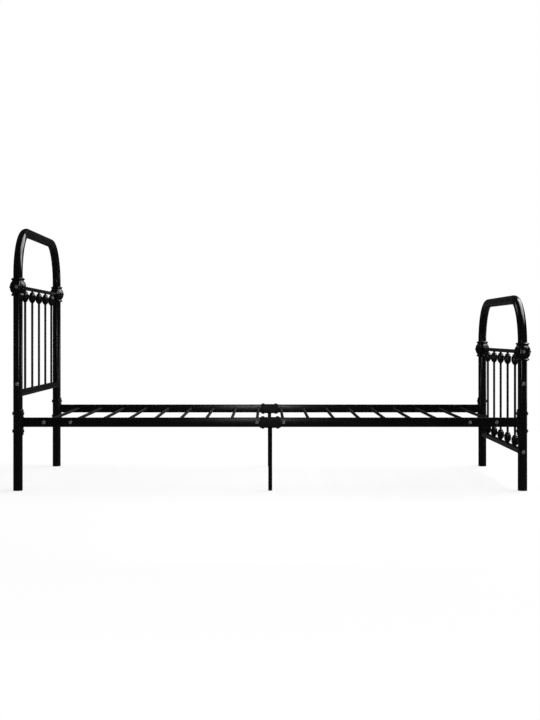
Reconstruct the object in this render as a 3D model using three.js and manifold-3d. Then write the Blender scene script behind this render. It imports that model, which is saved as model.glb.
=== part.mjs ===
// Metal bed frame for a 900 x 2000 mm mattress: arched tube head and foot panels with cast
// joints, two-piece side rails on saddle brackets, round cross slats and centre legs.
// Millimetres, +Z up. The origin is on the floor under the middle of the bed.
// The headboard stands at -X and the footboard at +X. Left is -Y and right is +Y.

import * as THREE from 'three';
import { mergeVertices } from 'three/addons/utils/BufferGeometryUtils.js';
import Module from 'manifold-3d';

const wasm = await Module();
wasm.setup();

// ---- Driving dimensions ----

const FIT = 0.3; // clearance left around each piece that seats in or on another
const BITE = 0.4; // depth to which a pressed insert or a bolt runs into its own piece

const bed = { length: 2048, width: 930 }; // between the axes of the posts

const post = { radius: 19, wall: 1.5, sides: 16 };
const bendSteps = 5; // along each bend of an arch

// The jointZ is the height of the castings and the top rail. The archStraight is how far the
// arch's tube runs on straight above its casting.
const headPanel = {
  name: 'head', end: -1, jointZ: 826, archStraight: 11.5, bendRadius: 185,
  bottomRail: { size: 25, z: 394, bolted: false }, lowerKnobs: false,
};
const footPanel = {
  name: 'foot', end: 1, jointZ: 563.5, archStraight: 0, bendRadius: 179,
  bottomRail: { size: 20, z: 157, bolted: true }, lowerKnobs: true,
};

const topRail = { radius: 8, wall: 1.2, sides: 8, reach: 14 }; // reach: end to post axis
const squareTube = { wall: 1.5, corner: 2 };
const spindle = { radius: 5, count: 5, endMargin: 150, sides: 8 };
const knob = { radius: 15, drop: 58, height: 46 }; // drop: rail axis to the knob's point

// The casting's walls are measured out from its sockets, its web past the top rail, and the
// depths of its collars and necks in from its ends.
const casting = {
  halfHeight: 37, webWall: 4, ballWall: 13.2, neckWall: 4.3, collarWall: 8.4, rimWall: 2,
  collarDepth: 4.5, neckDepth: 11.5,
};
const boss = { radius: 9, tipRadius: 1.5, root: 5, height: 3.9, sides: 6 };
const spotface = { radius: 8.5, depth: 4 };

const sideRail = { width: 20, height: 38, wall: 1.5, corner: 3, z: 277.4, splitGap: 0.5 };
// The saddle's bolts sit outside the rail's edges, and its plate runs on past the bolts.
const saddle = { thickness: 3.5, halfAngle: 68, boltClear: 16.7, plateMargin: 16.3 };
const saddleNut = { radius: 6.5, thickness: 2 };

const slat = { radius: 6.5, wall: 1.2, count: 18, endMargin: 106, sides: 8 };
const boltedSlats = [0, 1, 8, 9, 16, 17]; // counted from the head end

const sleeve = { length: 84, wall: 1.5, floor: 3.4, boltX: 30 };
const centreLeg = { radius: 8.5, wall: 1.2, sides: 10 };

const bolt = { headRadius: 7, topRadius: 5, headHeight: 4, radius: 3, sides: 8 };
const postBoltZ = 433; // height of the bolt that stands alone on each post
const insertLength = 12; // of the threaded insert in a bolted tube's end

const glide = { flange: 4, edge: 2.5, plugLength: 18 }; // edge: bevel at the floor

// ---- Places worked out from them ----

const postX = bed.length / 2;
const postY = bed.width / 2;
const railY = postY;
const railTop = sideRail.z + sideRail.height / 2;
const railBottom = sideRail.z - sideRail.height / 2;
const sleeveTop = railTop + FIT + sleeve.wall;
const sleeveBottom = railBottom - FIT - sleeve.floor;
const tubeFoot = glide.flange + FIT;
const socketRadius = post.radius + FIT;
const ballRadius = socketRadius + casting.ballWall;
const webHalf = topRail.radius + casting.webWall;
const saddleOuter = socketRadius + saddle.thickness;
const saddleBoltZ = sideRail.height / 2 + saddle.boltClear;
const saddleHalf = saddleBoltZ + saddle.plateMargin;
const ends = [headPanel, footPanel];
const sides = [{ name: 'left', sign: -1 }, { name: 'right', sign: 1 }];

const X = new THREE.Vector3(1, 0, 0);
const Y = new THREE.Vector3(0, 1, 0);
const Z = new THREE.Vector3(0, 0, 1);

// ---- Materials ----

const powderCoat = new THREE.MeshStandardMaterial({ color: 0x141416, roughness: 0.35, metalness: 0.2 });
const castEnamel = new THREE.MeshStandardMaterial({ color: 0x17171a, roughness: 0.3, metalness: 0.2 });
const plastic = new THREE.MeshStandardMaterial({ color: 0x0d0d0e, roughness: 0.6, metalness: 0 });

// ---- Solids ----

/** A closed geometry as a solid that can be joined and cut. */
function toSolid(geometry) {
  const bare = geometry.clone();
  bare.deleteAttribute('normal');
  bare.deleteAttribute('uv');
  const merged = mergeVertices(bare, 1e-4);
  const index = merged.index.array;
  const triangles = [];
  for (let i = 0; i < index.length; i += 3) {
    const [a, b, c] = index.slice(i, i + 3);
    if (a !== b && b !== c && c !== a) triangles.push(a, b, c);
  }
  return new wasm.Manifold(new wasm.Mesh({
    numProp: 3,
    vertProperties: new Float32Array(merged.attributes.position.array),
    triVerts: new Uint32Array(triangles),
  }));
}

function toGeometry(solid) {
  const mesh = solid.getMesh();
  const geometry = new THREE.BufferGeometry();
  geometry.setAttribute('position', new THREE.BufferAttribute(mesh.vertProperties, 3));
  geometry.setIndex(new THREE.BufferAttribute(mesh.triVerts, 1));
  geometry.computeVertexNormals();
  return geometry;
}

function cut(geometry, tools) {
  return toGeometry(tools.reduce((left, tool) => left.subtract(toSolid(tool)), toSolid(geometry)));
}

function join(first, others) {
  return toGeometry(others.reduce((sum, other) => sum.add(toSolid(other)), toSolid(first)));
}

/** Turns a profile of [radius, height] points about the axis, which then points along direction. */
function turned(profile, count, direction) {
  const points = profile.map(([radius, height]) => new THREE.Vector2(radius, height));
  const geometry = new THREE.LatheGeometry(points, count);
  return geometry.applyQuaternion(new THREE.Quaternion().setFromUnitVectors(Y, direction));
}

/** A round bar from one distance to another along direction. */
function bar(radius, from, to, count, direction) {
  return turned([[0, from], [radius, from], [radius, to], [0, to]], count, direction);
}

/** A round tube from one distance to another along direction. */
function tube(radius, wall, from, to, count, direction) {
  const inner = radius - wall;
  const profile = [[inner, from], [radius, from], [radius, to], [inner, to], [inner, from]];
  return turned(profile, count, direction);
}

function roundedRectangle(path, width, height, corner, centreY = 0) {
  const x = width / 2 - corner;
  const low = centreY - height / 2 + corner;
  const high = centreY + height / 2 - corner;
  path.absarc(x, high, corner, 0, Math.PI / 2);
  path.absarc(-x, high, corner, Math.PI / 2, Math.PI);
  path.absarc(-x, low, corner, Math.PI, Math.PI * 1.5);
  path.absarc(x, low, corner, Math.PI * 1.5, Math.PI * 2);
  path.closePath();
  return path;
}

/** Extrudes a shape from one distance to another along 'x', 'y' or 'z'. */
function extruded(shape, from, to, axis, curveSegments = 1) {
  const geometry = new THREE.ExtrudeGeometry(shape, {
    depth: to - from, bevelEnabled: false, curveSegments,
  });
  geometry.translate(0, 0, from);
  const basis = { x: [Y, Z, X], y: [Z, X, Y], z: [X, Y, Z] }[axis];
  return geometry.applyMatrix4(new THREE.Matrix4().makeBasis(...basis));
}

/** A rectangular tube with rounded edges. Its width and height lie across its axis. */
function rectangularTube(width, height, wall, corner, from, to, axis) {
  const shape = roundedRectangle(new THREE.Shape(), width, height, corner);
  const inner = Math.max(corner - wall, 0.5);
  shape.holes.push(roundedRectangle(new THREE.Path(), width - 2 * wall, height - 2 * wall, inner));
  return extruded(shape, from, to, axis);
}

// ---- Fasteners ----

/** A button-head bolt: the head's seat is at the origin and the shank runs back from it. */
function buttonBolt(length, direction) {
  const profile = [
    [0, -length], [bolt.radius, -length], [bolt.radius, 0], [bolt.headRadius, 0],
    [bolt.topRadius, bolt.headHeight], [0, bolt.headHeight],
  ];
  return turned(profile, bolt.sides, direction);
}

function boltHole(from, to, direction) {
  return bar(bolt.radius + FIT, from, to, bolt.sides, direction);
}

/** The pair of bolts and threaded inserts that hold a crosswise tube, one at each of its ends. */
function crossBolts(insertRadius, insertSides, tubeEnd, headSeat) {
  const length = headSeat - tubeEnd + insertLength;
  return sides.flatMap(({ sign }) => {
    const outward = Y.clone().multiplyScalar(sign);
    const insert = bar(insertRadius, tubeEnd - insertLength, tubeEnd - 1, insertSides, outward);
    return [insert, buttonBolt(length, outward).translate(0, sign * headSeat, 0)];
  });
}

// ---- Posts, arches and castings ----

function postTube(panel, sign) {
  const top = panel.jointZ - webHalf - FIT;
  const body = tube(post.radius, post.wall, tubeFoot, top, post.sides, Z);
  const outward = Y.clone().multiplyScalar(sign);
  const holes = [-1, 1].map((step) => boltHole(-post.radius - 1, post.radius + 1, X)
    .translate(0, 0, sideRail.z + step * saddleBoltZ));
  if (panel.bottomRail.bolted) {
    const hole = boltHole(-post.radius - 1, post.radius + 1, Y);
    holes.push(hole.translate(0, 0, panel.bottomRail.z));
  }
  const lock = buttonBolt(2 * post.radius - post.wall, outward);
  lock.translate(0, sign * (post.radius - BITE), postBoltZ);
  return join(cut(body, holes), [lock]);
}

/** The centreline of an arch in the YZ plane, with one step per straight and equal steps in bends. */
class ArchPath extends THREE.Curve {
  constructor(bottom, spring, radius) {
    super();
    Object.assign(this, { bottom, spring, radius, steps: 2 * bendSteps + 3 });
  }

  getUtoTmapping(u) {
    return u;
  }

  getPoint(t, target = new THREE.Vector3()) {
    const along = t * this.steps;
    const side = along > this.steps / 2 ? 1 : -1;
    const step = side > 0 ? this.steps - along : along;
    const inset = postY - this.radius;
    if (step < 1) {
      return target.set(0, side * postY, THREE.MathUtils.lerp(this.bottom, this.spring, step));
    }
    if (step < 1 + bendSteps) {
      const angle = (step - 1) / bendSteps * Math.PI / 2;
      const y = inset + this.radius * Math.cos(angle);
      return target.set(0, side * y, this.spring + this.radius * Math.sin(angle));
    }
    const share = (step - 1 - bendSteps) / 0.5;
    return target.set(0, side * inset * (1 - share), this.spring + this.radius);
  }
}

function archTube(panel) {
  const section = new THREE.Shape().absarc(0, 0, post.radius, 0, Math.PI * 2);
  section.holes.push(new THREE.Path().absarc(0, 0, post.radius - post.wall, 0, Math.PI * 2));
  const bottom = panel.jointZ + webHalf + FIT;
  const spring = panel.jointZ + casting.halfHeight + panel.archStraight;
  const path = new ArchPath(bottom, spring, panel.bendRadius);
  return new THREE.ExtrudeGeometry(section, {
    steps: path.steps, extrudePath: path, curveSegments: post.sides / 2,
  });
}

/** The cast joint: a ball between two collars, with a socket for the post and one for the arch. */
function castingSolid(sign) {
  const { halfHeight, neckWall, collarWall, rimWall, collarDepth, neckDepth } = casting;
  const shoulder = { radius: ballRadius * 0.89, height: ballRadius * 0.55 };
  const upper = [
    [ballRadius, ballRadius / 3], [shoulder.radius, shoulder.height],
    [socketRadius + neckWall, halfHeight - neckDepth],
    [socketRadius + collarWall, halfHeight - collarDepth], [socketRadius + rimWall, halfHeight],
    [socketRadius, halfHeight], [socketRadius, webHalf], [0, webHalf],
  ];
  const lower = upper.map(([radius, height]) => [radius, -height]).reverse();
  const body = turned([...lower, ...upper], post.sides, Z);
  const bosses = [-1, 1].map((way) => turned([
    [0, ballRadius - boss.root], [boss.radius, ballRadius - boss.root],
    [boss.tipRadius, ballRadius + boss.height], [0, ballRadius + boss.height],
  ], boss.sides, X.clone().multiplyScalar(way)));
  const outward = Y.clone().multiplyScalar(sign);
  const inward = outward.clone().negate();
  const seat = ballRadius - spotface.depth;
  const tools = [
    bar(spotface.radius, seat, 2 * ballRadius, bolt.sides, outward),
    boltHole(-topRail.reach - 1, seat + 1, outward),
    bar(topRail.radius + FIT, topRail.reach - FIT, 2 * ballRadius, topRail.sides, inward),
  ];
  return cut(join(body, bosses), tools);
}

// ---- Head and foot panels ----

function topRailTube() {
  const end = postY - topRail.reach;
  const seat = postY + ballRadius - spotface.depth + FIT;
  const body = tube(topRail.radius, topRail.wall, -end, end, topRail.sides, Y);
  return join(body, crossBolts(topRail.radius - topRail.wall + BITE, 6, end, seat));
}

function bottomRailTube({ size, bolted }) {
  const { wall, corner } = squareTube;
  const body = rectangularTube(size, size, wall, corner, -postY, postY, 'y');
  const seats = sides.map(({ sign }) => bar(socketRadius, -size, size, post.sides, Z)
    .translate(0, sign * postY, 0));
  const rail = cut(body, seats);
  if (!bolted) return rail;
  const end = postY - socketRadius;
  const seat = postY + socketRadius;
  return join(rail, crossBolts(size / 2 - wall + BITE, 4, end, seat));
}

/** The bud-shaped knob, as [radius, height] points, with its point at height 0. */
function knobProfile() {
  const { radius, height } = knob;
  const bead = spindle.radius + 5;
  return [
    [spindle.radius, 0], [radius * 0.6, height * 0.12], [radius * 0.82, height * 0.24],
    [radius, height * 0.4], [radius, height * 0.61], [radius * 0.73, height * 0.76],
    [bead, height * 0.87], [spindle.radius, height],
  ];
}

function spindleRod(panel) {
  const bottom = panel.bottomRail.z + panel.bottomRail.size / 2 + FIT;
  const place = (z) => knobProfile().map(([radius, height]) => [radius, z + height]);
  const profile = [
    [0, bottom],
    ...(panel.lowerKnobs ? place(bottom) : [[spindle.radius, bottom]]),
    ...place(panel.jointZ - knob.drop),
    [spindle.radius, panel.jointZ], [0, panel.jointZ],
  ];
  const reach = 2 * knob.radius;
  const railSeat = bar(topRail.radius + FIT, -reach, reach, topRail.sides, Y);
  return cut(turned(profile, spindle.sides, Z), [railSeat.translate(0, 0, panel.jointZ)]);
}

// ---- Side rails ----

/** One half of a side rail. The end is -1 towards the head and 1 towards the foot. */
function railHalf(end, sign) {
  const { width, height, wall, corner, splitGap } = sideRail;
  const near = splitGap / 2;
  const body = end > 0
    ? rectangularTube(width, height, wall, corner, near, postX, 'x')
    : rectangularTube(width, height, wall, corner, -postX, -near, 'x');
  const seatRadius = (saddleOuter + FIT) / Math.cos(Math.PI / post.sides);
  const saddleSeat = bar(seatRadius, -height, height, post.sides, Z);
  const sleeveHole = boltHole(-height, height, Z).translate(end * sleeve.boltX, 0, 0);
  const tools = [saddleSeat.translate(end * postX, 0, 0), sleeveHole];
  const outward = Y.clone().multiplyScalar(sign);
  for (let i = 0; i < slat.count; i += 1) {
    if (Math.sign(slatX(i)) !== end) continue;
    const socket = bar(slat.radius + FIT, -width, 0, slat.sides, outward);
    tools.push(socket.translate(slatX(i), 0, 0));
    if (boltedSlats.includes(i)) tools.push(boltHole(0, width, outward).translate(slatX(i), 0, 0));
  }
  return cut(body, tools);
}

/** The saddle plate that wraps the post, with the bolts that pull it on. It faces +X. */
function saddleBracket() {
  const angle = THREE.MathUtils.degToRad(saddle.halfAngle);
  const shape = new THREE.Shape();
  shape.absarc(0, 0, saddleOuter, -angle, angle);
  shape.absarc(0, 0, socketRadius, angle, -angle, true);
  const plate = extruded(shape, -saddleHalf, saddleHalf, 'z', 4);
  const nutEnd = saddleOuter + saddleNut.thickness;
  const outward = X.clone().negate();
  const extras = [-1, 1].flatMap((step) => {
    const z = step * saddleBoltZ;
    const nut = bar(saddleNut.radius, socketRadius + BITE, nutEnd, 6, X);
    const screw = buttonBolt(socketRadius + nutEnd - BITE, outward);
    return [nut.translate(0, 0, z), screw.translate(-socketRadius, 0, z)];
  });
  return join(plate, extras);
}

function centreSleeve() {
  const { length, wall, floor, boltX } = sleeve;
  const width = sideRail.width + 2 * (FIT + wall);
  const height = sleeveTop - sleeveBottom;
  const shape = roundedRectangle(new THREE.Shape(), width, height, sideRail.corner);
  const [holeWidth, holeHeight] = [sideRail.width + 2 * FIT, sideRail.height + 2 * FIT];
  const holeZ = (floor - wall) / 2;
  shape.holes.push(
    roundedRectangle(new THREE.Path(), holeWidth, holeHeight, sideRail.corner, holeZ));
  const box = extruded(shape, -length / 2, length / 2, 'x');
  const bolts = [-boltX, boltX].flatMap((x) => [
    buttonBolt(height - BITE, Z).translate(x, 0, height / 2 - BITE / 2),
    buttonBolt(floor / 2, Z.clone().negate()).translate(x, 0, BITE / 2 - height / 2),
  ]);
  return join(box, bolts).translate(0, 0, (sleeveTop + sleeveBottom) / 2);
}

// ---- Slats, legs and glides ----

function slatX(index) {
  const span = bed.length - 2 * slat.endMargin;
  return -span / 2 + index * span / (slat.count - 1);
}

function slatTube(index) {
  const end = railY + sideRail.width / 2 - sideRail.wall - FIT;
  const body = tube(slat.radius, slat.wall, -end, end, slat.sides, Y);
  if (!boltedSlats.includes(index)) return body;
  const seat = railY + sideRail.width / 2 + FIT;
  return join(body, crossBolts(slat.radius - slat.wall + BITE, 6, end, seat));
}

/** A plastic glide: a flange as wide as the tube, and a plug that fits inside the tube. */
function glideCap(radius, wall, count) {
  const plug = radius - wall - FIT;
  return turned([
    [0, 0], [radius - glide.edge, 0], [radius, glide.edge], [radius, glide.flange],
    [plug, glide.flange], [plug, glide.flange + glide.plugLength],
    [0, glide.flange + glide.plugLength],
  ], count, Z);
}

// ---- Assembly ----

const bedFrame = new THREE.Group();

function add(name, geometry, material, x = 0, y = 0, z = 0, turn = 0) {
  const mesh = new THREE.Mesh(geometry, material);
  mesh.name = name;
  mesh.position.set(x, y, z);
  mesh.rotation.z = turn;
  bedFrame.add(mesh);
}

for (const panel of ends) {
  const x = panel.end * postX;
  const rail = panel.bottomRail;
  for (const { name, sign } of sides) {
    const y = sign * postY;
    add(`${panel.name}_post_${name}`, postTube(panel, sign), powderCoat, x, y);
    add(`${panel.name}_casting_${name}`, castingSolid(sign), castEnamel, x, y, panel.jointZ);
    add(`${panel.name}_glide_${name}`, glideCap(post.radius, post.wall, post.sides), plastic, x, y);
  }
  add(`${panel.name}_arch`, archTube(panel), powderCoat, x);
  add(`${panel.name}_top_rail`, topRailTube(), powderCoat, x, 0, panel.jointZ);
  add(`${panel.name}_bottom_rail`, bottomRailTube(rail), powderCoat, x, 0, rail.z);
  const rod = spindleRod(panel);
  const pitch = (bed.width - 2 * spindle.endMargin) / (spindle.count - 1);
  for (let i = 0; i < spindle.count; i += 1) {
    const y = (i - (spindle.count - 1) / 2) * pitch;
    add(`${panel.name}_spindle_${i + 1}`, rod.clone(), castEnamel, x, y);
  }
}

for (const { name, sign } of sides) {
  const y = sign * railY;
  for (const { name: endName, end } of ends) {
    add(`side_rail_${name}_${endName}`, railHalf(end, sign), powderCoat, 0, y, sideRail.z);
    add(`rail_bracket_${name}_${endName}`, saddleBracket(), powderCoat, end * postX, y,
      sideRail.z, end > 0 ? Math.PI : 0);
  }
  const legTop = sleeveBottom - FIT;
  const { radius, wall, sides: count } = centreLeg;
  add(`centre_sleeve_${name}`, centreSleeve(), powderCoat, 0, y);
  add(`centre_leg_${name}`, tube(radius, wall, tubeFoot, legTop, count, Z), powderCoat, 0, y);
  add(`centre_glide_${name}`, glideCap(radius, wall, count), plastic, 0, y);
}

for (let i = 0; i < slat.count; i += 1) {
  const number = String(i + 1).padStart(2, '0');
  add(`slat_${number}`, slatTube(i), powderCoat, slatX(i), 0, sideRail.z);
}

export default bedFrame;
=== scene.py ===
"""The looks of a black metal bed frame.

Tube panels with cast joints and buds at the head and the foot, bolted side rails and round slats.
Metres, +Z up. The head is at -X, the foot at +X, the left side at -Y and the right side at +Y.
"""

import math

import bpy
from mathutils import Matrix, Vector


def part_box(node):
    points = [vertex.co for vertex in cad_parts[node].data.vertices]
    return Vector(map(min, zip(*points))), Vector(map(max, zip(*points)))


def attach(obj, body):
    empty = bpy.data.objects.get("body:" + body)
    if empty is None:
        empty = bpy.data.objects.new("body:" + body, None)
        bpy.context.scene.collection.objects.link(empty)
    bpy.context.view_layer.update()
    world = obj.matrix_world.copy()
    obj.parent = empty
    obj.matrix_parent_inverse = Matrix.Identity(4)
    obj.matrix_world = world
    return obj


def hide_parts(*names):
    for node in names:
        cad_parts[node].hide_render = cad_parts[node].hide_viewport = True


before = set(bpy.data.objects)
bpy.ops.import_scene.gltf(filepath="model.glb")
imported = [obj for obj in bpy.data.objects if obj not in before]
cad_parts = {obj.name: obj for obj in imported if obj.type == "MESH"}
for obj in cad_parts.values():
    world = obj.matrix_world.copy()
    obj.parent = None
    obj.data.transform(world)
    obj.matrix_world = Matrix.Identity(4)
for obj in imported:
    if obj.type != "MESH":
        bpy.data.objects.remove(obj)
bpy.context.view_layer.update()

X, Y, Z = Vector((1, 0, 0)), Vector((0, 1, 0)), Vector((0, 0, 1))
ENDS = {"head": -1, "foot": 1}
SIDES = {"left": -1, "right": 1}


# ---- Sizes and places from the frame ----

def low(node, axis):
    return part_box(node)[0][axis]


def high(node, axis):
    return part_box(node)[1][axis]


def middle(node):
    lowest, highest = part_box(node)
    return (lowest + highest) / 2


def half(node, axis):
    return (high(node, axis) - low(node, axis)) / 2


GAP = 0.0003  # clearance that the frame leaves between mating pieces
POST_RADIUS = half("head_post_left", 0)
POST_X = middle("foot_post_left").x
POST_Y = low("head_post_right", 1) + POST_RADIUS
JOINT_Z = {end: middle(f"{end}_casting_left").z for end in ENDS}
BALL_RADIUS = high("head_casting_left", 1) + POST_Y
CASTING_HALF = half("head_casting_left", 2)
BOSS_REACH = half("head_casting_left", 0)
TOP_RAIL_RADIUS = half("head_top_rail", 2)
RAIL_WIDTH = 2 * half("side_rail_left_head", 1)
RAIL_HEIGHT = 2 * half("side_rail_left_head", 2)
RAIL_Y = middle("side_rail_right_head").y
RAIL_Z = middle("side_rail_left_head").z
SADDLE_HALF = half("rail_bracket_left_head", 2)
SLEEVE_HALF = half("centre_sleeve_left", 0)
SLAT_RADIUS = half("slat_03", 0)
SLATS = sorted(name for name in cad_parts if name.startswith("slat_"))
RAIL_FACE = RAIL_Y + RAIL_WIDTH / 2
BOLTED_SLATS = [name for name in SLATS if high(name, 1) > RAIL_FACE]
SPINDLE_RADIUS = 0.005
SPINDLES = range(1, 6)
LOWER_BUDS = {"head": False, "foot": True}


# ---- Sizes of the details ----

ROUND = 48  # sides of a round piece
ARC_STEPS = 5  # along a rounded corner
BEND_STEPS = 40  # along each bend of an arch

AXIS = 0.0004  # a turned profile starts this near its axis, and a small cap closes it

POST_WALL, POST_EDGE = 0.0015, 0.0007  # an edge is the rounding of a tube's cut end
LEG_WALL, LEG_EDGE = 0.0012, 0.0006
POST_BOLT_Z = 0.433
GLIDE_PLUG_INSET, GLIDE_PLUG_LENGTH = 0.0018, 0.012
GLIDE_EDGE, GLIDE_DISH = 0.0028, 0.0006

RAIL_CORNER = 0.0034
PANEL_RAIL_CORNER = 0.0022
TOP_RAIL_INSET = 0.014  # from a post's axis to the rail's end in the casting
SLAT_SEAT = 0.004  # how deep a slat's end sits in a side rail

WELD_RADIUS = 0.0017
WELD_RIPPLE = 0.12  # share of the bead's radius
WELD_PITCH = 0.0021  # between ripples
WELD_SIDES = 8
SPINDLE_WELD_RADIUS = 0.0009
SLAT_WELD_RADIUS = 0.0006
WELD_STAND_OFF = 0.0002  # from the metal to the middle of a small bead

HEAD_RADIUS, HEAD_HEIGHT = 0.007, 0.004
HEAD_RIM, HEAD_CROWN = 0.0005, 0.0031  # the rim's height and the flat crown's radius
HEAD_STEPS = 8  # along the dome
HEX_RADIUS, HEX_DEPTH = 0.0024, 0.0021
HEX_MOUTH, HEX_FLOOR = 1.04, 0.97  # share of the socket's radius
WASHER_RADIUS, WASHER_HOLE = 0.0086, 0.0045
WASHER_EDGE, WASHER_TOP = 0.0004, 0.0006
NUT_RADIUS, NUT_HEIGHT = 0.0062, 0.003
SHANK_RADIUS, SHANK_END = 0.003, 0.0009  # the end is the part that stands out of the nut

SADDLE_THICKNESS = 0.0035
SADDLE_HALF_ANGLE = math.radians(68)
SADDLE_CORNER, SADDLE_EDGE = 0.012, 0.0006
SADDLE_BOLT_Z = 0.0357  # up and down from the rail's middle
SADDLE_NUT_SINK = 0.0012  # the nut's seat lies this far inside the curved plate's face
SLEEVE_WALL, SLEEVE_FLOOR, SLEEVE_BOLT_X = 0.0015, 0.0034, 0.030
SLEEVE_CORNER, SLEEVE_EDGE = RAIL_CORNER + 0.0012, 0.0005

BUD_DROP, BUD_HEIGHT, BUD_RADIUS = 0.058, 0.046, 0.015
BUD_PETALS, BUD_SPACING = 6, 0.0009
PETALS_FROM, PETALS_TO = 0.05, 0.78  # shares of the bud's height
PETAL_GROOVE = 0.0012
TIPS_FROM, TIPS_LENGTH, TIP_GROOVE = 0.58, 0.2, 0.0024
FLUTES_FROM, FLUTES_TO = 0.80, 0.99
FLUTE_GROOVE = 0.0007

ARCH_STRAIGHT = {"head": 0.0115, "foot": 0.0}  # from the casting to the bend
COLLAR_RADIUS, COLLAR_Z = 0.0279, 0.0325
NECK_RADIUS, NECK_Z = 0.0236, 0.0255
CAST_ROOT = 0.0225  # from the casting's axis to where its bosses, rim and socket start
SPOTFACE_RADIUS, SPOTFACE_DEPTH = 0.0098, 0.004
BOLT_FLOOR = BALL_RADIUS - SPOTFACE_DEPTH
LEAF_COUNT = 4
LEAF_BASE, LEAF_TIP, LEAF_WIDTH = 0.0045, 0.0240, 0.0118  # the width is half of a leaf's
LEAF_GROOVE, LEAF_GROOVE_DEPTH = 0.0022, 0.0014
LEAF_RIB, LEAF_RIB_WIDTH = 0.0005, 0.0012
CAST_VOXEL, CAST_SPACING = 0.0005, 0.0007


# ---- Mesh building ----

def rounded(points):
    """A polyline with an arc at each corner. A point is (x, y) or (x, y, radius of its arc)."""
    line = []
    for i, point in enumerate(points):
        here = Vector(point[:2])
        if len(point) < 3 or i in (0, len(points) - 1):
            line.append(here)
            continue
        back = Vector(points[i - 1][:2]) - here
        ahead = Vector(points[i + 1][:2]) - here
        turn = back.angle(ahead)
        reach = min(point[2] / math.tan(turn / 2), back.length * 0.49, ahead.length * 0.49)
        radius = reach * math.tan(turn / 2)
        toward = (back.normalized() + ahead.normalized()).normalized()
        centre = here + toward * radius / math.sin(turn / 2)
        start = here + back.normalized() * reach - centre
        sweep = start.angle_signed(here + ahead.normalized() * reach - centre)
        for step in range(ARC_STEPS + 1):
            arm = start.copy()
            arm.rotate(Matrix.Rotation(-sweep * step / ARC_STEPS, 2))
            line.append(centre + arm)
    return line


def rounded_rectangle(width, height, corner, centre_v=0.0):
    """The outline of a rectangle with round corners, centred on u = 0 and v = centre_v."""
    outline = []
    for quarter, (u, v) in enumerate(((1, 1), (-1, 1), (-1, -1), (1, -1))):
        for step in range(ARC_STEPS + 1):
            angle = (quarter + step / ARC_STEPS) * math.pi / 2
            outline.append((
                u * (width / 2 - corner) + corner * math.cos(angle),
                centre_v + v * (height / 2 - corner) + corner * math.sin(angle),
            ))
    return outline


def skin(rings, cyclic=False):
    """Points and faces of a skin over rings of equal counts, capped unless they are cyclic."""
    count = len(rings[0])
    points = [point for ring in rings for point in ring]
    faces = []
    for here in range(len(rings) if cyclic else len(rings) - 1):
        there = (here + 1) % len(rings)
        for i in range(count):
            j = (i + 1) % count
            faces.append((here * count + i, here * count + j, there * count + j, there * count + i))
    if not cyclic:
        faces.append(tuple(range(count - 1, -1, -1)))
        faces.append(tuple(range(len(points) - count, len(points))))
    return points, faces


def turned(profile, relief=None, count=ROUND, cyclic=False):
    """Turns (radius, height) points about Z. The relief gives a point its radius at an angle."""
    rings = []
    for radius, height in profile:
        ring = []
        for i in range(count):
            angle = 2 * math.pi * i / count
            reach = relief(angle, radius, height) if relief else radius
            ring.append(Vector((reach * math.cos(angle), reach * math.sin(angle), height)))
        rings.append(ring)
    return skin(rings, cyclic)


def moved(shape, place=(0, 0, 0), direction=Z, turn=0.0):
    """The shape turned about Z, with its Z then pointing along direction, at a place."""
    points, faces = shape
    matrix = Matrix.Translation(place) @ Z.rotation_difference(direction).to_matrix().to_4x4()
    matrix = matrix @ Matrix.Rotation(turn, 4, "Z")
    return [matrix @ Vector(point) for point in points], faces


def merged(*shapes):
    """Several shapes as one."""
    points, faces = [], []
    for more_points, more_faces in shapes:
        faces += [tuple(i + len(points) for i in face) for face in more_faces]
        points += more_points
    return points, faces


def finer(line, spacing, radius=0.0):
    """The profile with points about a spacing apart, wherever it is wider than a radius."""
    fine = []
    for here, there in zip(line, line[1:]):
        steps = max(1, round((there - here).length / spacing)) if here.x > radius else 1
        fine += [here.lerp(there, k / steps) for k in range(steps)]
    return fine + [line[-1]]


def bead(path, axis, radius=WELD_RADIUS):
    """A rippled weld bead along a closed path. The axis is never along the path."""
    length = sum((path[i] - path[i - 1]).length for i in range(len(path)))
    ripples = max(6, round(length / WELD_PITCH))
    rings, along = [], 0.0
    for i, point in enumerate(path):
        tangent = (path[(i + 1) % len(path)] - path[i - 1]).normalized()
        side = tangent.cross(axis).normalized()
        up = side.cross(tangent)
        ripple = 1 + WELD_RIPPLE * math.sin(2 * math.pi * ripples * along / length)
        rings.append([
            point + (side * math.cos(a) + up * math.sin(a)) * radius * ripple
            for a in (2 * math.pi * k / WELD_SIDES for k in range(WELD_SIDES))
        ])
        along += (path[(i + 1) % len(path)] - point).length
    return skin(rings, cyclic=True)


def dense(path, spacing=WELD_PITCH / 5):
    """A closed path with points added so that they're no further apart than the spacing."""
    line = []
    for i, point in enumerate(path):
        following = path[(i + 1) % len(path)]
        steps = max(1, math.ceil((following - point).length / spacing))
        line += [point.lerp(following, k / steps) for k in range(steps)]
    return line


def mesh_of(name, shape, sharp_angle=35):
    """A smooth mesh whose edges are sharp where its faces turn by more than an angle in degrees."""
    points, faces = shape
    mesh = bpy.data.meshes.new(name)
    mesh.from_pydata([tuple(point) for point in points], [], faces)
    mesh.validate()
    mesh.shade_smooth()
    mesh.set_sharp_from_angle(angle=math.radians(sharp_angle))
    return mesh


def piece(name, mesh, material, nodes=(), place=(0, 0, 0), turn=0.0):
    """Adds an object that rides on the frame and stands for the named CAD nodes."""
    if isinstance(mesh, tuple):
        mesh = mesh_of(name, mesh)
    if not mesh.materials:
        mesh.materials.append(material)
    thing = bpy.data.objects.new(name, mesh)
    thing.location = place
    thing.rotation_euler.z = turn
    bpy.context.scene.collection.objects.link(thing)
    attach(thing, "root")
    if nodes:
        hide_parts(*nodes)
    return thing


# ---- Materials ----

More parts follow.
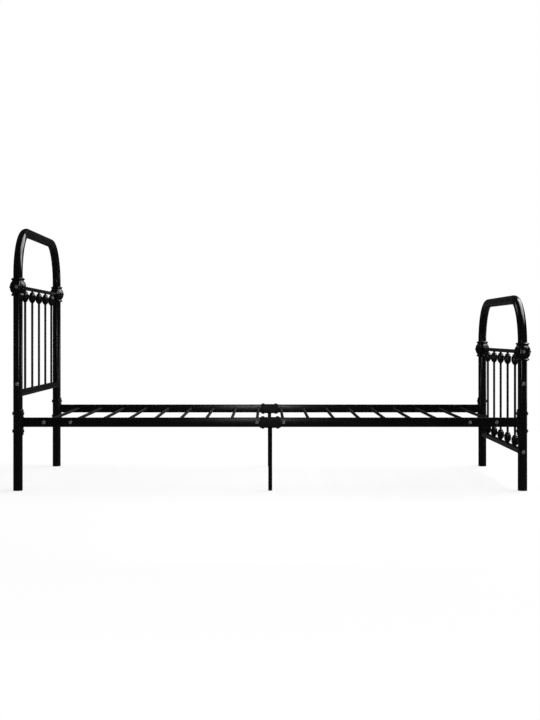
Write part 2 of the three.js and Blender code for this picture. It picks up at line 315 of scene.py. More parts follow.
MIX_FACTOR, MIX_FIRST, MIX_SECOND, MIX_RESULT = 0, 6, 7, 2  # a Mix node's sockets for colours


class Nodes:
    """A short way to write a material's node tree."""

    def __init__(self, name, **sockets):
        self.material = bpy.data.materials.new(name)
        self.material.use_nodes = True
        self.tree = self.material.node_tree
        self.shader = self.tree.nodes["Principled BSDF"]
        for socket, value in sockets.items():
            self.shader.inputs[socket.replace("_", " ")].default_value = value

    def add(self, kind, **settings):
        """A new node with its settings."""
        node = self.tree.nodes.new(kind)
        for key, value in settings.items():
            setattr(node, key, value)
        return node

    def link(self, source, target):
        self.tree.links.new(source, target)

    def noise(self, scale, detail=4.0, roughness=0.5):
        """Noise that stays fixed to the piece, at a scale in cells per metre."""
        place = self.add("ShaderNodeTexCoord")
        noise = self.add("ShaderNodeTexNoise")
        noise.inputs["Scale"].default_value = scale
        noise.inputs["Detail"].default_value = detail
        noise.inputs["Roughness"].default_value = roughness
        self.link(place.outputs["Object"], noise.inputs["Vector"])
        return noise.outputs["Fac"]

    def ramp(self, source, low_end, high_end, start=0.35, end=0.65):
        """The source remapped to run from one value or colour to another."""
        ramp = self.add("ShaderNodeValToRGB")
        ramp.color_ramp.elements[0].position = start
        ramp.color_ramp.elements[1].position = end
        for element, value in zip(ramp.color_ramp.elements, (low_end, high_end)):
            element.color = (*value, 1) if isinstance(value, tuple) else (value, value, value, 1)
        self.link(source, ramp.inputs["Fac"])
        return ramp.outputs["Color"]

    def mix(self, factor, first, second):
        """Two colours mixed by a factor."""
        mix = self.add("ShaderNodeMix", data_type="RGBA")
        for source, socket in ((factor, MIX_FACTOR), (first, MIX_FIRST), (second, MIX_SECOND)):
            self.link(source, mix.inputs[socket])
        return mix.outputs[MIX_RESULT]

    def bump(self, source, distance, strength=1.0, under=None):
        """A normal raised by the source, over another bump if there is one."""
        bump = self.add("ShaderNodeBump")
        bump.inputs["Distance"].default_value = distance
        bump.inputs["Strength"].default_value = strength
        self.link(source, bump.inputs["Height"])
        if under:
            self.link(under, bump.inputs["Normal"])
        return bump.outputs["Normal"]

    def feed(self, **sources):
        """Links the sources to the shader's sockets. It returns the finished material."""
        for socket, source in sources.items():
            self.link(source, self.shader.inputs[socket.replace("_", " ")])
        return self.material


def powder_coat(name, specular, roughness_low, roughness_high):
    """Black powder coat with orange peel, a soft cloud of duller film and a thin dust."""
    nodes = Nodes(name, Specular_IOR_Level=specular)
    cloud = nodes.noise(9, 3)
    film = nodes.noise(60, 5)
    base = nodes.ramp(cloud, (0.0016, 0.0016, 0.0017), (0.0024, 0.0023, 0.0023))
    dust = nodes.ramp(film, (0.0020, 0.0020, 0.0021), (0.0038, 0.0037, 0.0036), 0.5, 0.8)
    dusted = nodes.mix(nodes.ramp(cloud, 0.2, 0.8), base, dust)
    roughness = nodes.ramp(film, roughness_low, roughness_high)
    peel = nodes.bump(nodes.noise(260, 1), 0.00001)
    return nodes.feed(Base_Color=dusted, Roughness=roughness, Normal=peel)


def cast_enamel():
    """The same black on cast metal: a thicker, wavier film over a slightly pitted skin."""
    nodes = Nodes("cast_enamel", Specular_IOR_Level=0.7)
    cloud = nodes.noise(45, 4)
    pits = nodes.noise(1300, 3, 0.6)
    base = nodes.ramp(cloud, (0.0014, 0.0014, 0.0015), (0.0027, 0.0026, 0.0025))
    roughness = nodes.ramp(pits, 0.12, 0.18)
    waves = nodes.bump(nodes.noise(210, 2), 0.00006)
    normal = nodes.bump(pits, 0.000004, under=waves)
    return nodes.feed(Base_Color=base, Roughness=roughness, Normal=normal)


def zinc_steel():
    """Dull zinc-plated steel for the bolt heads, with a fine grain and handling stains."""
    nodes = Nodes("zinc_steel", Metallic=0.6)
    stain = nodes.noise(260, 4)
    grain = nodes.noise(1900, 3)
    base = nodes.ramp(stain, (0.18, 0.18, 0.185), (0.25, 0.25, 0.245))
    roughness = nodes.ramp(grain, 0.55, 0.68)
    return nodes.feed(Base_Color=base, Roughness=roughness, Normal=nodes.bump(grain, 0.00002))


def glide_plastic():
    """Dull black moulded plastic with a fine spark-eroded grain."""
    nodes = Nodes("glide_plastic", Specular_IOR_Level=0.45)
    grain = nodes.noise(1500, 3, 0.7)
    base = nodes.ramp(nodes.noise(60), (0.006, 0.006, 0.006), (0.01, 0.01, 0.01))
    roughness = nodes.ramp(grain, 0.48, 0.62)
    return nodes.feed(Base_Color=base, Roughness=roughness, Normal=nodes.bump(grain, 0.00005))


COAT = powder_coat("powder_coat", 0.7, 0.13, 0.19)
RAIL_COAT = powder_coat("powder_coat_rails", 0.45, 0.20, 0.25)
SLEEVE_COAT = powder_coat("powder_coat_sleeves", 0.4, 0.42, 0.52)
SLAT_COAT = powder_coat("powder_coat_slats", 0.7, 0.34, 0.42)
CAST, ZINC, PLASTIC = cast_enamel(), zinc_steel(), glide_plastic()


# ---- Fasteners and welds ----

def bolt_head():
    """A button head with a hexagon socket. Its seat is at height 0."""
    profile = [(HEAD_RADIUS - 0.0008, 0.0), (HEAD_RADIUS, HEAD_RIM)]
    for step in range(1, HEAD_STEPS + 1):
        angle = step / HEAD_STEPS * math.pi / 2
        radius = HEAD_CROWN + (HEAD_RADIUS - HEAD_CROWN) * math.cos(angle)
        profile.append((radius, HEAD_RIM + (HEAD_HEIGHT - HEAD_RIM) * math.sin(angle)))
    profile += [
        (HEX_RADIUS * HEX_MOUTH, HEAD_HEIGHT), (HEX_RADIUS, HEAD_HEIGHT - 0.0001),
        (HEX_RADIUS * HEX_FLOOR, HEAD_HEIGHT - HEX_DEPTH),
    ]
    return turned(profile, hexagon)


def hexagon(angle, radius, height):
    """Makes the socket's part of a bolt head six-sided."""
    if radius > HEX_RADIUS * HEX_MOUTH:
        return radius
    sixth = math.pi / 3
    return radius * math.cos(sixth / 2) / math.cos(angle % sixth - sixth / 2)


def saddle_washer(radius):
    """A round washer whose underside follows a round tube along Y, just under height 0."""
    rings = []
    for reach, top in (
        (WASHER_HOLE, 0.0), (WASHER_RADIUS - WASHER_EDGE, 0.0), (WASHER_RADIUS, -WASHER_EDGE),
        (WASHER_RADIUS, None), (WASHER_HOLE, None),
    ):
        ring = []
        for i in range(ROUND):
            angle = 2 * math.pi * i / ROUND
            x, y = reach * math.cos(angle), reach * math.sin(angle)
            under = math.sqrt(radius ** 2 - x ** 2) - radius - GAP
            ring.append(Vector((x, y, under if top is None else top)))
        rings.append(ring)
    return skin(rings, cyclic=True)


def flat_washer():
    """A round washer on a flat face, round a bolt whose seat is at height 0."""
    return turned([
        (WASHER_HOLE, -GAP), (WASHER_RADIUS, -GAP), (WASHER_RADIUS, WASHER_TOP - WASHER_EDGE),
        (WASHER_RADIUS - WASHER_EDGE, WASHER_TOP), (WASHER_HOLE, WASHER_TOP),
    ], cyclic=True)


def weld_nut():
    """A low hexagon nut with its bolt's end. Its seat is at height 0."""
    nut = turned([
        (NUT_RADIUS, -0.001), (NUT_RADIUS, NUT_HEIGHT - 0.0006),
        (NUT_RADIUS - 0.0007, NUT_HEIGHT), (SHANK_RADIUS + 0.0004, NUT_HEIGHT),
    ], count=6)
    top = NUT_HEIGHT + SHANK_END
    shank = rounded([(SHANK_RADIUS, 0.0), (SHANK_RADIUS, top, 0.0005), (AXIS / 2, top)])
    return merged(nut, turned(shank, count=24))


HEAD_MESH = mesh_of("button_head", bolt_head())
HEAD_MESH.materials.append(ZINC)


def bolt(name, place, direction):
    """A button-head bolt. All of them share one mesh."""
    head = bpy.data.objects.new(name, HEAD_MESH)
    head.location = place
    head.rotation_euler = Z.rotation_difference(direction).to_euler()
    bpy.context.scene.collection.objects.link(head)
    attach(head, "root")


def ring_path(radius, height):
    """A closed path round Z, at a height that may depend on x and y."""
    path = []
    for i in range(ROUND):
        angle = 2 * math.pi * i / ROUND
        x, y = radius * math.cos(angle), radius * math.sin(angle)
        path.append(Vector((x, y, height(x, y))))
    return path


# ---- Posts, arches and castings ----

def upright_tube(node, radius, wall, edge):
    """An open tube along Z, rounded at the outer edge of its lower end."""
    foot, top = low(node, 2), high(node, 2)
    inner = radius - wall
    profile = rounded([(inner, top), (inner, foot), (radius, foot, edge), (radius, top)])
    return turned(profile, cyclic=True)


def glide(node, tube, radius, x, y):
    """A plastic foot under a tube, with a plug up the tube and a shallow dish below."""
    top = low(tube, 2) - GAP
    plug = radius - GLIDE_PLUG_INSET
    profile = rounded([
        (AXIS, GLIDE_DISH), (radius - 0.005, GLIDE_DISH, 0.0004), (radius - 0.0045, 0.0, 0.0003),
        (radius, 0.0, GLIDE_EDGE), (radius, top, 0.0003), (plug, top),
        (plug, top + GLIDE_PLUG_LENGTH),
    ])
    piece(node, turned(profile), PLASTIC, [node], (x, y, 0))


def post(end, side):
    """A post of the head or the foot panel, with its glide."""
    node = f"{end}_post_{side}"
    x, y = ENDS[end] * POST_X, SIDES[side] * POST_Y
    tube = upright_tube(node, POST_RADIUS, POST_WALL, POST_EDGE)
    piece(node, tube, COAT, [node], (x, y, 0))
    glide(f"{end}_glide_{side}", node, POST_RADIUS, x, y)


def arch(end):
    """The inverted U over a pair of posts: two bends with a straight crown between them."""
    node = f"{end}_arch"
    bottom, crown = low(node, 2), high(node, 2) - POST_RADIUS
    spring = JOINT_Z[end] + CASTING_HALF + ARCH_STRAIGHT[end]
    radius = crown - spring
    inset = POST_Y - radius
    path = [(-POST_Y, bottom, 0.0)]
    for step in range(BEND_STEPS + 1):
        angle = step / BEND_STEPS * math.pi / 2
        path.append((-inset - radius * math.cos(angle), spring + radius * math.sin(angle), angle))
    path += [(-y, z, math.pi - angle) for y, z, angle in reversed(path)]
    rings = []
    for y, z, angle in path:
        out = Vector((0, -math.cos(angle), math.sin(angle)))
        rings.append([
            Vector((0, y, z)) + (X * math.cos(a) + out * math.sin(a)) * POST_RADIUS
            for a in (2 * math.pi * i / ROUND for i in range(ROUND))
        ])
    piece(node, skin(rings), COAT, [node], (ENDS[end] * POST_X, 0, 0))


def leaf_relief(angle, radius, height):
    """Cuts a groove round each pointed leaf on the ball's shoulders, midway between the bosses."""
    along = (abs(height) - LEAF_BASE) / (LEAF_TIP - LEAF_BASE)
    if not 0 < along < 1:
        return radius
    pitch = 2 * math.pi / LEAF_COUNT
    across = abs(angle % pitch - pitch / 2) * radius
    width = LEAF_WIDTH * math.sin(math.pi * along ** 0.7) ** 0.6
    from_edge = (across - width) / LEAF_GROOVE
    groove = max(0.0, 1 - from_edge ** 2) ** 2 * LEAF_GROOVE_DEPTH
    rib = LEAF_RIB * math.exp(-(across / LEAF_RIB_WIDTH) ** 2) * math.sin(math.pi * along)
    return radius - groove + rib


def ball_outline():
    """The joint's outline from its middle to its upper end, as (radius, height) and arc radius."""
    waist = BALL_RADIUS - 0.0003
    return [
        (waist, 0.0, 0.03), (waist, 0.0095, 0.008), (0.0287, 0.0180, 0.006),
        (NECK_RADIUS, NECK_Z - 0.0008, 0.002), (NECK_RADIUS, NECK_Z + 0.0012, 0.001),
        (COLLAR_RADIUS, COLLAR_Z - 0.001, 0.0005), (COLLAR_RADIUS, COLLAR_Z + 0.001, 0.0005),
        (0.0213, CASTING_HALF, 0.0006), (AXIS, CASTING_HALF),
    ]


def casting_relief(angle, radius, height):
    """The leaves, and the flat floor for the bolt on the ball's outward (+Y) side."""
    reach = leaf_relief(angle, radius, height)
    from_axis = math.hypot(reach * math.cos(angle), height)
    if math.sin(angle) > 0 and from_axis < SPOTFACE_RADIUS:
        return min(reach, BOLT_FLOOR / math.sin(angle))
    return reach


def cast_joint():
    """The cast ball joint, with its bolt's rim outward (+Y), as one skin with soft corners."""
    upper = ball_outline()
    lower = [(radius, -height, *rest) for radius, height, *rest in reversed(upper[1:])]
    ball = turned(finer(rounded(lower + upper), CAST_SPACING), casting_relief, count=240)
    boss = turned(rounded([
        (AXIS, CAST_ROOT), (0.0092, CAST_ROOT), (0.0088, 0.0300, 0.002), (0.0066, 0.0318, 0.0015),
        (0.0036, 0.0334, 0.004), (0.0013, BOSS_REACH - 0.0008, 0.0004),
        (0.0003, BOSS_REACH - 0.0001),
    ]))
    rim = turned(rounded([
        (0.0080, BOLT_FLOOR - 0.001), (0.0106, CAST_ROOT), (0.0114, BALL_RADIUS - 0.0012, 0.0008),
        (0.0098, BALL_RADIUS - 0.0002, 0.0006), (0.0083, BALL_RADIUS - 0.0006, 0.0004),
        (0.0080, BOLT_FLOOR - 0.001),
    ]), cyclic=True)
    floor = turned([
        (AXIS, CAST_ROOT), (0.0095, CAST_ROOT), (0.0095, BOLT_FLOOR), (AXIS, BOLT_FLOOR),
    ])
    socket = turned(rounded([
        (AXIS, CAST_ROOT), (0.0140, CAST_ROOT), (0.0120, 0.0324, 0.002), (0.0118, 0.0352, 0.0009),
        (0.0098, 0.0352, 0.0006), (0.0094, 0.0346), (AXIS, 0.0346),
    ]))
    shape = merged(ball, moved(boss, direction=X), moved(boss, direction=-X),
                   moved(rim, direction=Y), moved(floor, direction=Y), moved(socket, direction=-Y))
    mesh = mesh_of("cast_joint", shape)
    mesh.materials.append(CAST)
    return remeshed(mesh, CAST_VOXEL)


def remeshed(mesh, voxel):
    """One smooth skin over a mesh of overlapping closed parts, as a casting has."""
    thing = bpy.data.objects.new(mesh.name, mesh)
    bpy.context.scene.collection.objects.link(thing)
    remesh = thing.modifiers.new("union", "REMESH")
    remesh.mode = "VOXEL"
    remesh.voxel_size = voxel
    remesh.use_smooth_shade = True
    soften = thing.modifiers.new("soften", "CORRECTIVE_SMOOTH")
    soften.use_only_smooth = True
    soften.factor = 0.5
    soften.iterations = 2
    graph = bpy.context.evaluated_depsgraph_get()
    smooth = bpy.data.meshes.new_from_object(thing.evaluated_get(graph), depsgraph=graph)
    material = mesh.materials[0]
    bpy.data.objects.remove(thing)
    smooth.materials.clear()
    smooth.materials.append(material)
    smooth.shade_smooth()
    return smooth


# ---- Head and foot panels ----

def top_rail(end):
    """The thin round rail between two castings."""
    node = f"{end}_top_rail"
    reach = POST_Y - TOP_RAIL_INSET
    profile = [(TOP_RAIL_RADIUS, height) for height in (-reach, 0.0, reach)]
    shape = moved(turned(profile), direction=Y)
    piece(node, shape, COAT, [node], (ENDS[end] * POST_X, 0, JOINT_Z[end]))


def panel_rail_size(end):
    return 2 * half(f"{end}_bottom_rail", 0)


def panel_rail_is_bolted(end):
    """Whether the square rail is bolted and not welded. Its node then reaches past the posts."""
    return high(f"{end}_bottom_rail", 1) > POST_Y + POST_RADIUS


def bottom_rail(end):
    """The square rail between the posts, with its ends cut to the posts."""
    node = f"{end}_bottom_rail"
    size = panel_rail_size(end)
    place = Vector((ENDS[end] * POST_X, 0, middle(node).z))
    outline = rounded_rectangle(size, size, PANEL_RAIL_CORNER)
    rings = []
    for way in (-1, 1):
        rings.append([
            Vector((u, way * (POST_Y - math.sqrt((POST_RADIUS + GAP) ** 2 - u ** 2)), v))
            for u, v in outline
        ])
    piece(node, skin(rings), COAT, [node], place)
    if not panel_rail_is_bolted(end):
        beads = [bead(dense(ring), Y) for ring in rings]
        piece(f"{end}_bottom_rail_welds", merged(*beads), COAT, (), place)


def bud_profile(point_z):
    """A bud with its point at a height, as (radius, height) points upwards."""
    r, h = BUD_RADIUS, BUD_HEIGHT
    return [
        (SPINDLE_RADIUS, point_z, 0.0006), (r * 0.62, point_z + h * 0.10, 0.006),
        (r * 0.87, point_z + h * 0.22, 0.01), (r, point_z + h * 0.38, 0.01),
        (r, point_z + h * 0.67, 0.004), (r * 0.96, point_z + h * 0.77, 0.0008),
        (r * 0.82, point_z + h * 0.79, 0.0012), (r * 0.72, point_z + h * 0.86, 0.0012),
        (r * 0.73, point_z + h * 0.93, 0.0015), (r * 0.60, point_z + h * 0.97, 0.002),
        (SPINDLE_RADIUS, point_z + h, 0.0006),
    ]


def bud_relief(points_z):
    """Parts a bud's bowl into petals with rounded tips, and flutes the collar above them."""
    def relief(angle, radius, height):
        if radius <= SPINDLE_RADIUS:
            return radius
        for point_z in points_z:
            along = (height - point_z) / BUD_HEIGHT
            groove = abs(math.sin(BUD_PETALS * angle / 2))
            if PETALS_FROM < along < PETALS_TO:
                share = (along - PETALS_FROM) / (PETALS_TO - PETALS_FROM)
                body = PETAL_GROOVE * math.sin(math.pi * share) ** 0.8
                tip = TIP_GROOVE * max(0.0, (along - TIPS_FROM) / TIPS_LENGTH) ** 2
                return radius - (body + tip) * (1 - groove) ** 3
            if FLUTES_FROM < along < FLUTES_TO:
                share = (along - FLUTES_FROM) / (FLUTES_TO - FLUTES_FROM)
                return radius - FLUTE_GROOVE * (1 - groove) ** 2 * math.sin(math.pi * share)
        return radius
    return relief


def spindle_mesh(end):
    """A spindle with a bud under the top rail, and on the foot panel one on the bottom rail."""
    bottom = low(f"{end}_spindle_1", 2)
    top = JOINT_Z[end] - TOP_RAIL_RADIUS * 0.6
    points_z = [JOINT_Z[end] - BUD_DROP]
    outline = [(SPINDLE_RADIUS, bottom)]
    if LOWER_BUDS[end]:
        points_z.append(bottom)
        outline += bud_profile(bottom)[1:]
    outline += bud_profile(JOINT_Z[end] - BUD_DROP) + [(SPINDLE_RADIUS, top)]
    line = finer(rounded(outline), BUD_SPACING, SPINDLE_RADIUS + 1e-5)
    return mesh_of(f"{end}_spindle", turned(line, bud_relief(points_z), count=72), sharp_angle=50)


def spindles(end):
    """The spindles of a panel, and a weld at each of their ends."""
    mesh = spindle_mesh(end)
    mesh.materials.append(CAST)
    rail_top = high(f"{end}_bottom_rail", 2)
    if panel_rail_is_bolted(end):
        rail_top = middle(f"{end}_bottom_rail").z + panel_rail_size(end) / 2
    around = SPINDLE_RADIUS + WELD_STAND_OFF

    def under_top_rail(x, y):
        return JOINT_Z[end] - math.sqrt(max(TOP_RAIL_RADIUS ** 2 - x ** 2, 0)) - WELD_STAND_OFF

    upper = ring_path(around, under_top_rail)
    lower = ring_path(around, lambda x, y: rail_top + WELD_STAND_OFF)
    beads = []
    for number in SPINDLES:
        node = f"{end}_spindle_{number}"
        place = Vector((ENDS[end] * POST_X, middle(node).y, 0))
        piece(node, mesh, CAST, [node], place)
        for path in (upper, lower):
            ring = [point + Y * place.y for point in dense(path)]
            beads.append(bead(ring, Z, SPINDLE_WELD_RADIUS))
    place = (ENDS[end] * POST_X, 0, 0)
    piece(f"{end}_spindle_welds", merged(*beads), COAT, (), place)


# ---- Side rails ----

def saddle_seat(v):
    """How far from a post's axis a rail ends, at a distance across it."""
    return math.sqrt((POST_RADIUS + GAP + SADDLE_THICKNESS + GAP) ** 2 - v ** 2)


def side_rail(end, side):
    """Half of a side rail: cut to its bracket's curve, with a small bead round each slat."""
    node = f"side_rail_{side}_{end}"
    way = ENDS[end]
    place = Vector((0, SIDES[side] * RAIL_Y, RAIL_Z))
    outline = rounded_rectangle(RAIL_WIDTH, RAIL_HEIGHT, RAIL_CORNER)
    near = [Vector((way * GAP, u, v)) for u, v in outline]
    far = [Vector((way * (POST_X - saddle_seat(u)), u, v)) for u, v in outline]
    body = skin([near, far] if way > 0 else [far, near])
    circle = ring_path(SLAT_RADIUS + SLAT_WELD_RADIUS, lambda x, y: 0)
    beads = []
    for name in SLATS:
        x = middle(name).x
        if (x > 0) == (way > 0):
            face = Vector((x, -SIDES[side] * RAIL_WIDTH / 2, 0))
            ring = [face + Vector((point.x, 0, point.y)) for point in circle]
            beads.append(bead(ring, Y, SLAT_WELD_RADIUS))
    piece(node, merged(body, *beads), RAIL_COAT, [node], place)
    piece(f"{node}_weld", bead(dense(far), X), RAIL_COAT, (), place)


def saddle_plate():
    """The curved plate round a post's +X side, with round corners."""
    inner, outer = POST_RADIUS + GAP, POST_RADIUS + GAP + SADDLE_THICKNESS
    half_width = SADDLE_HALF_ANGLE * outer
    edge = SADDLE_EDGE
    columns, rows = 44, 16
    layers = []
    for radius, inset in ((inner, edge), (inner + edge, 0), (outer - edge, 0), (outer, edge)):
        layer = []
        for i in range(columns + 1):
            u = -(half_width - inset) * math.cos(math.pi * i / columns)
            over = abs(u) - (half_width - inset - SADDLE_CORNER)
            reach = SADDLE_HALF - inset
            if over > 0:
                reach -= SADDLE_CORNER - math.sqrt(max(SADDLE_CORNER ** 2 - over ** 2, 0))
            x, y = radius * math.cos(u / outer), radius * math.sin(u / outer)
            layer.append([
                Vector((x, y, reach * (2 * k / rows - 1))) for k in range(rows + 1)
            ])
        layers.append(layer)
    points = [point for layer in layers for column in layer for point in column]
    per_layer = (columns + 1) * (rows + 1)

    def at(layer, column, row):
        return layer * per_layer + column * (rows + 1) + row

    faces = []
    for i in range(columns):
        for k in range(rows):
            corners = ((i, k), (i + 1, k), (i + 1, k + 1), (i, k + 1))
            faces.append([at(3, *corner) for corner in corners])
            faces.append([at(0, *corner) for corner in reversed(corners)])
    border = [(i, 0) for i in range(columns)] + [(columns, k) for k in range(rows)]
    border += [(i, rows) for i in range(columns, 0, -1)] + [(0, k) for k in range(rows, 0, -1)]
    for here, there in zip(border, border[1:] + border[:1]):
        for layer in range(3):
            faces.append([
                at(layer, *here), at(layer, *there), at(layer + 1, *there), at(layer + 1, *here),
            ])
    return points, faces


def bracket(end, side):
    """The plate between a side rail and its post, with bolts and nuts above and below the rail."""
    node = f"rail_bracket_{side}_{end}"
    nut_seat = POST_RADIUS + GAP + SADDLE_THICKNESS - SADDLE_NUT_SINK
    nuts = [moved(weld_nut(), (nut_seat, 0, step * SADDLE_BOLT_Z), X) for step in (-1, 1)]
    mesh = mesh_of(node, merged(saddle_plate(), *nuts))
    way = ENDS[end]
    place = Vector((way * POST_X, SIDES[side] * POST_Y, RAIL_Z))
    piece(node, mesh, COAT, [node], place, math.pi if way > 0 else 0.0)
    for number, step in enumerate((-1, 1), start=1):
        seat = place + Vector((way * (POST_RADIUS + GAP), 0, step * SADDLE_BOLT_Z))
        bolt(f"{node}_bolt_{number}", seat, X * way)


def sleeve(side):
    """The box round the joint of two rail halves, with its screws and the centre leg's weld."""
    node = f"centre_sleeve_{side}"
    wide = RAIL_WIDTH + 2 * (GAP + SLEEVE_WALL)
    top = RAIL_HEIGHT / 2 + GAP + SLEEVE_WALL
    bottom = -RAIL_HEIGHT / 2 - GAP - SLEEVE_FLOOR
    outer = rounded_rectangle(wide, top - bottom, SLEEVE_CORNER, (top + bottom) / 2)
    inner = rounded_rectangle(RAIL_WIDTH + GAP, RAIL_HEIGHT + GAP, RAIL_CORNER)
    edge = SLEEVE_EDGE
    rings = []
    for x, outline, inset in (
        (-SLEEVE_HALF, inner, 0), (-SLEEVE_HALF, outer, edge), (-SLEEVE_HALF + edge, outer, 0),
        (SLEEVE_HALF - edge, outer, 0), (SLEEVE_HALF, outer, edge), (SLEEVE_HALF, inner, 0),
    ):
        narrower, lower = 1 - inset / (wide / 2), 1 - inset / top
        rings.append([Vector((x, u * narrower, v * lower)) for u, v in outline])
    place = Vector((0, SIDES[side] * RAIL_Y, RAIL_Z))
    leg_radius = half(f"centre_leg_{side}", 0)
    collar = bead(dense(ring_path(leg_radius, lambda x, y: bottom - WELD_STAND_OFF)), Z)
    screws = []
    for way in (-1, 1):
        screws.append(moved(bolt_head(), (way * SLEEVE_BOLT_X, 0, top), Z))
        screws.append(moved(weld_nut(), (way * SLEEVE_BOLT_X, 0, bottom), -Z))
    piece(node, merged(skin(rings, cyclic=True), collar), SLEEVE_COAT, [node], place)
    piece(f"{node}_screws", merged(*screws), SLEEVE_COAT, (), place)


def centre_leg(side):
    """The thin leg under the middle of a side rail, with its glide."""
    node = f"centre_leg_{side}"
    radius = half(node, 0)
    y = SIDES[side] * RAIL_Y
    tube = upright_tube(node, radius, LEG_WALL, LEG_EDGE)
    piece(node, tube, COAT, [node], (0, y, 0))
    glide(f"centre_glide_{side}", node, radius, 0, y)


def slats():
    """The cross slats, which share one mesh."""
    reach = RAIL_Y - RAIL_WIDTH / 2 + SLAT_SEAT
    profile = [(SLAT_RADIUS, -reach), (SLAT_RADIUS, 0), (SLAT_RADIUS, reach)]
    mesh = mesh_of("slat", moved(turned(profile, count=36), direction=Y))
    mesh.materials.append(SLAT_COAT)
    for name in SLATS:
        piece(name, mesh, SLAT_COAT, [name], (middle(name).x, 0, RAIL_Z))


# ---- Bolts that stand in the posts, panels and rails ----

def washer_piece(name, shape, place, direction):
    piece(name, moved(shape, place, direction), COAT)


def bolts():
    """The bolts that face outward along Y, with their washers."""
    for side, sign in SIDES.items():
        out = Y * sign
        for end, way in ENDS.items():
            x, y = way * POST_X, sign * (POST_Y + POST_RADIUS + GAP)
            seat = Vector((x, y, POST_BOLT_Z))
            bolt(f"{end}_post_{side}_bolt", seat, out)
            washer_piece(f"{end}_post_{side}_washer", saddle_washer(POST_RADIUS), seat, out)
            floor = sign * (POST_Y + BOLT_FLOOR + GAP / 2)
            bolt(f"{end}_casting_{side}_bolt", Vector((x, floor, JOINT_Z[end])), out)
            if panel_rail_is_bolted(end):
                rail = f"{end}_bottom_rail"
                seat = Vector((x, y, middle(rail).z))
                bolt(f"{rail}_{side}_bolt", seat, out)
                washer_piece(f"{rail}_{side}_washer", saddle_washer(POST_RADIUS), seat, out)
        for name in BOLTED_SLATS:
            seat = Vector((middle(name).x, sign * (RAIL_FACE + GAP), RAIL_Z))
            bolt(f"{name}_bolt_{side}", seat, out)
            washer_piece(f"{name}_washer_{side}", flat_washer(), seat, out)


# ---- Assembly ----

CAST_JOINT = cast_joint()

for end in ENDS:
    arch(end)
    top_rail(end)
    bottom_rail(end)
    spindles(end)
    for side in SIDES:
        post(end, side)
        node = f"{end}_casting_{side}"
        place = (ENDS[end] * POST_X, SIDES[side] * POST_Y, JOINT_Z[end])
        turn = math.pi if side == "left" else 0.0
        piece(node, CAST_JOINT, CAST, [node], place, turn)
        side_rail(end, side)
        bracket(end, side)
for side in SIDES:
    sleeve(side)
    centre_leg(side)
slats()
bolts()


# ---- Floor, light and camera ----

FLOOR_HALF = 40
FLOOR_COLOUR = (0.86, 0.86, 0.86, 1)
SHADOW_NEAR, SHADOW_FAR = 1.0, 3.5  # the shadow fades out between these, from the bed's middle
PLAIN_SHARE = 0.65  # of plain white in the floor near the bed; the rest is lit and shadowed
FILL_LIGHT = (0.6, 0.6, 0.6, 1)
WHITE = (1, 1, 1, 1)

FLAG_COLOUR = (0.015, 0.015, 0.015, 1)
ROOM_CORNERS = ((-6, -6), (12, -6), (12, 9), (-6, 9))
ROOM_HEIGHT = 12
FLAG_LIFT = 0.001  # of the lowest flag over the floor

LAMPS = (  # name, place, point aimed at, width, height, radiance
    # The broad highlights down the arches and along their bends
    ("key", (4.6, 2.2, 7.15), (-2.6, 1.5, 3.8), 9.9, 6.35, 4.2),
    # The left leg of the head arch, and the castings and buds
    ("low_key", (3.4, 1.05, 2.3), (0.1, 4.2, 4.4), 5.4, 1.55, 4.2),
    # The bed's side of the foot arch, at its left bend
    ("back", (-0.85, 0.95, 2.6), (0.0, 0.95, 2.6), 1.6, 1.2, 1.0),
    # The thin upright highlights on the posts and spindles
    ("low_side", (5.2, 2.4, 0.22), (0, 2.4, 0.22), 2.2, 0.42, 2.2),
    # The glow in the middle of the left side rail and of the right one
    ("front", (-0.07, -2.1, 0.505), (-0.07, 0, 0.505), 0.3, 0.28, 4.4),
    ("bay", (-0.04, -0.25, 0.318), (-0.04, 0.455, 0.28), 0.36, 0.05, 3.4),
)


def backdrop_floor():
    """A pale floor that shows white where no shadow falls, to the camera and in reflections."""
    mesh = bpy.data.meshes.new("floor")
    signs = ((-1, -1), (1, -1), (1, 1), (-1, 1))
    corners = [(x * FLOOR_HALF, y * FLOOR_HALF, 0) for x, y in signs]
    mesh.from_pydata(corners, [], [(0, 1, 2, 3)])
    floor = bpy.data.objects.new("floor", mesh)
    bpy.context.scene.collection.objects.link(floor)
    material = bpy.data.materials.new("floor")
    material.use_nodes = True
    tree = material.node_tree
    tree.nodes.clear()
    output = tree.nodes.new("ShaderNodeOutputMaterial")
    diffuse = tree.nodes.new("ShaderNodeBsdfDiffuse")
    diffuse.inputs["Color"].default_value = FLOOR_COLOUR
    glow = tree.nodes.new("ShaderNodeEmission")
    mix = tree.nodes.new("ShaderNodeMixShader")
    place = tree.nodes.new("ShaderNodeTexCoord")
    distance = tree.nodes.new("ShaderNodeVectorMath")
    distance.operation = "LENGTH"
    fade = tree.nodes.new("ShaderNodeMapRange")
    fade.interpolation_type = "SMOOTHSTEP"
    for socket, value in (("From Min", SHADOW_NEAR), ("From Max", SHADOW_FAR),
                          ("To Min", PLAIN_SHARE), ("To Max", 1.0)):
        fade.inputs[socket].default_value = value
    tree.links.new(place.outputs["Object"], distance.inputs[0])
    tree.links.new(distance.outputs["Value"], fade.inputs["Value"])
    share = tree.nodes.new("ShaderNodeMath")
    share.operation = "MULTIPLY"
    tree.links.new(seen_directly(tree), share.inputs[0])
    tree.links.new(fade.outputs["Result"], share.inputs[1])
    tree.links.new(share.outputs[0], mix.inputs[0])
    tree.links.new(diffuse.outputs[0], mix.inputs[1])
    tree.links.new(glow.outputs[0], mix.inputs[2])
    tree.links.new(mix.outputs[0], output.inputs["Surface"])
    mesh.materials.append(material)


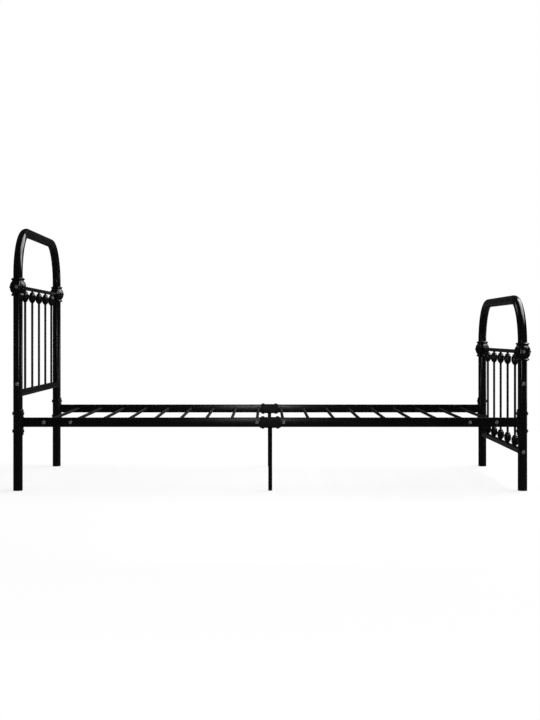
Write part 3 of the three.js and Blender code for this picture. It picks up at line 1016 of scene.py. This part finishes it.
def seen_directly(tree):
    """1 for camera, glossy and transmission rays, and 0 for the rest."""
    path = tree.nodes.new("ShaderNodeLightPath")
    total = path.outputs["Is Camera Ray"]
    for name in ("Is Glossy Ray", "Is Transmission Ray"):
        either = tree.nodes.new("ShaderNodeMath")
        either.operation = "MAXIMUM"
        tree.links.new(total, either.inputs[0])
        tree.links.new(path.outputs[name], either.inputs[1])
        total = either.outputs[0]
    return total


def world_light():
    """White behind the bed, to the camera and in reflections, and an even fill that lights it."""
    world = bpy.data.worlds.new("studio")
    bpy.context.scene.world = world
    world.use_nodes = True
    tree = world.node_tree
    tree.nodes.clear()
    output = tree.nodes.new("ShaderNodeOutputWorld")
    background = tree.nodes.new("ShaderNodeBackground")
    mix = tree.nodes.new("ShaderNodeMix")
    mix.data_type = "RGBA"
    mix.inputs[MIX_FIRST].default_value = FILL_LIGHT
    mix.inputs[MIX_SECOND].default_value = WHITE
    tree.links.new(seen_directly(tree), mix.inputs[MIX_FACTOR])
    tree.links.new(mix.outputs[MIX_RESULT], background.inputs["Color"])
    tree.links.new(background.outputs[0], output.inputs["Surface"])


def flag_cloth():
    """Dull black cloth."""
    material = bpy.data.materials.new("flag_cloth")
    material.use_nodes = True
    shader = material.node_tree.nodes["Principled BSDF"]
    shader.inputs["Base Color"].default_value = FLAG_COLOUR
    shader.inputs["Roughness"].default_value = 1.0
    return material


def flag(name, corners, cloth):
    """A black studio flag, which only reflections show. It keeps the white out of the gloss."""
    mesh = bpy.data.meshes.new(name)
    mesh.from_pydata(corners, [], [(0, 1, 2, 3)])
    panel = bpy.data.objects.new(name, mesh)
    bpy.context.scene.collection.objects.link(panel)
    mesh.materials.append(cloth)
    for kind in ("camera", "diffuse", "shadow", "transmission", "volume_scatter"):
        setattr(panel, f"visible_{kind}", False)


def flag_room():
    """Flags on all six sides of the set."""
    cloth = flag_cloth()
    for name, height in (("flag_floor", FLAG_LIFT), ("flag_roof", ROOM_HEIGHT)):
        flag(name, [(x, y, height) for x, y in ROOM_CORNERS], cloth)
    front_left, front_right, back_right, back_left = ROOM_CORNERS
    for name, start, end in (
        ("flag_front", front_left, front_right), ("flag_left", front_left, back_left),
        ("flag_back", back_left, back_right), ("flag_right", front_right, back_right),
    ):
        flag(name, [(*start, 0), (*end, 0), (*end, ROOM_HEIGHT), (*start, ROOM_HEIGHT)], cloth)


def softbox(name, place, target, width, height, radiance):
    """A soft rectangular lamp of an even radiance, aimed at a point."""
    light = bpy.data.lights.new(name, "AREA")
    light.shape = "RECTANGLE"
    light.size, light.size_y = width, height
    light.energy = radiance * math.pi * width * height
    lamp = bpy.data.objects.new(name, light)
    lamp.location = place
    lamp.rotation_euler = (Vector(target) - Vector(place)).to_track_quat("-Z", "Y").to_euler()
    lamp.visible_camera = False
    bpy.context.scene.collection.objects.link(lamp)


def camera():
    """A level camera square on to the bed's left side, a little above its rails."""
    data = bpy.data.cameras.new("camera")
    data.lens = 61.83
    data.sensor_width = 36
    data.shift_x, data.shift_y = 0.0062, -0.0358
    thing = bpy.data.objects.new("camera", data)
    thing.location = (-0.019, -5.485, 0.6346)
    thing.rotation_euler = (math.pi / 2, 0, 0)  # level, along +Y
    bpy.context.scene.collection.objects.link(thing)
    bpy.context.scene.camera = thing


backdrop_floor()
world_light()
flag_room()
for lamp in LAMPS:
    softbox(*lamp)
camera()
bpy.context.scene.view_settings.view_transform = "Standard"
